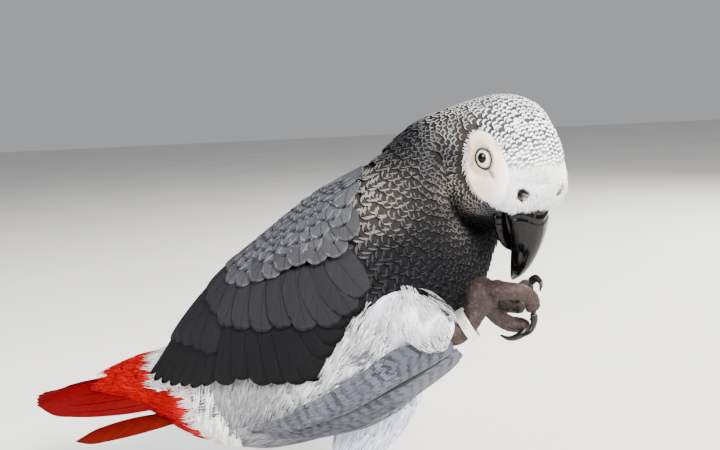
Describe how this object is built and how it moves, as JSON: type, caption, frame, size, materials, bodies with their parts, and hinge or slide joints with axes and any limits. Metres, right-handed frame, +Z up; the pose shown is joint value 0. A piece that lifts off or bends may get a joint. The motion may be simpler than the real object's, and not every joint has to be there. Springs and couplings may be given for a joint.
{
  "type": "grey parrot",
  "caption": "Grey parrot standing on its left foot on a level floor, its head turned down to the right and its right foot raised to its open bill; a still model.",
  "frame": {"origin": "under the middle of the standing left foot, on the floor", "axes": "+X forward along the bird's body, +Y to its left, +Z up"},
  "size_m": [0.2913, 0.1005, 0.2147],
  "materials": {
    "plumage": "soft matt grey feathers",
    "pale": "soft matt pale grey down",
    "wing": "matt dark grey feathers",
    "tail": "silky bright red feathers",
    "foot": "dry granular skin",
    "bill": "polished black horn",
    "claw": "satin black horn",
    "tongue": "moist dark skin",
    "eye": "wet pale yellow iris",
    "ring": "satin"
  },
  "bodies": {
    "root": {"head": "plumage", "neck": "plumage", "trunk": "plumage", "eye_left": "eye", "eye_right": "eye", "bill_upper": "bill", "bill_lower": "bill", "tongue": "tongue", "wing_left": "wing", "wing_right": "wing", "tail": "tail", "thigh_right": "pale", "shank_right": "foot", "toe_right_1": "foot", "claw_right_1": "claw", "toe_right_2": "foot", "claw_right_2": "claw", "toe_right_3": "foot", "claw_right_3": "claw", "toe_right_4": "foot", "claw_right_4": "claw", "thigh_left": "pale", "shank_left": "foot", "toe_left_1": "foot", "claw_left_1": "claw", "toe_left_2": "foot", "claw_left_2": "claw", "toe_left_3": "foot", "claw_left_3": "claw", "toe_left_4": "foot", "claw_left_4": "claw", "leg_ring": "ring"}
  },
  "joints": []
}
